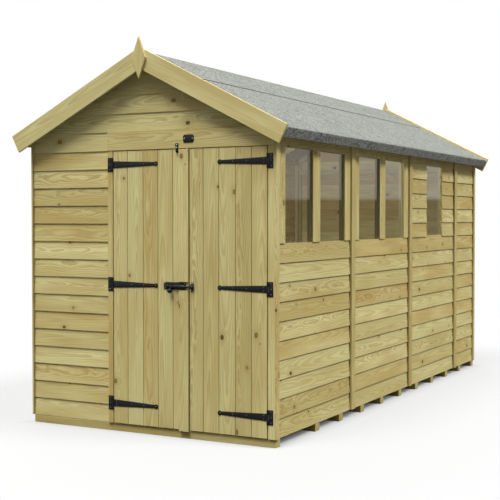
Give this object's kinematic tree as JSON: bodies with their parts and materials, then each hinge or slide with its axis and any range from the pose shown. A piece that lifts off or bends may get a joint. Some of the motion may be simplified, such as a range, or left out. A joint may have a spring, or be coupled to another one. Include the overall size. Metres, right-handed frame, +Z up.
{
  "type": "garden shed",
  "caption": "Long apex garden shed in treated timber with double doors, a row of side windows and a felted roof.",
  "frame": {"origin": "on the ground under the middle of the shed", "axes": "+X to the right seen from the doors, towards the windows; +Y from the door gable to the rear; +Z up"},
  "size_m": [2.0918, 4.4, 2.56],
  "materials": {
    "treated_timber": "pressure-treated softwood, yellow-tan with a green tint",
    "sawn_timber": "sawn treated softwood, bare",
    "roof_felt": "mineral roofing felt, light grey grit",
    "clear_glass": "clear horticultural glazing",
    "black_steel": "black satin powder coat on steel",
    "black_plastic": "plain black plate, satin"
  },
  "bodies": {
    "shed": {"floor_bearers": "treated_timber", "floor_deck": "sawn_timber", "right_wall_front": "treated_timber", "right_wall_second": "treated_timber", "right_wall_third": "treated_timber", "right_wall_rear": "treated_timber", "left_wall": "treated_timber", "front_wall": "treated_timber", "front_gable": "treated_timber", "rear_wall": "treated_timber", "door_posts": "treated_timber", "door_head": "treated_timber", "end_studs": "sawn_timber", "end_rails": "sawn_timber", "side_studs": "sawn_timber", "side_rails": "sawn_timber", "corner_trims": "treated_timber", "cover_battens": "treated_timber", "window_trims": "treated_timber", "window_head_boards": "treated_timber", "window_panes": "clear_glass", "roof_deck_left": "sawn_timber", "roof_deck_right": "sawn_timber", "lower_felt": "roof_felt", "ridge_felt": "roof_felt", "eaves_fascias": "sawn_timber", "ridge_beam": "sawn_timber", "roof_rafters": "sawn_timber", "left_barge_boards": "treated_timber", "right_barge_boards": "treated_timber", "finials": "treated_timber", "hinge_plates": "black_steel", "catch_keep": "black_steel", "door_plaque": "black_plastic"},
    "left_door": {"left_leaf_boards": "treated_timber", "left_leaf_ledges": "sawn_timber", "meeting_strip": "treated_timber", "left_hinge_straps": "black_steel", "padbolt_plate": "black_steel", "top_catch": "black_steel"},
    "door_bolt": {"padbolt_rod": "black_steel"},
    "right_door": {"right_leaf_boards": "treated_timber", "right_leaf_ledges": "sawn_timber", "right_hinge_straps": "black_steel", "padbolt_keep": "black_steel"}
  },
  "joints": [
    {"name": "left_door_hinge", "type": "hinge", "parent": "shed", "child": "left_door", "pos_m": [-0.2605, -2.117, 0.97], "axis": [0, 0, -1], "range_deg": [0, 170]},
    {"name": "right_door_hinge", "type": "hinge", "parent": "shed", "child": "right_door", "pos_m": [0.8785, -2.117, 0.97], "axis": [0, 0, 1], "range_deg": [0, 170]},
    {"name": "door_bolt_slide", "type": "slide", "parent": "left_door", "child": "door_bolt", "axis": [1, 0, 0], "range_m": [-0.012, 0.02]}
  ]
}
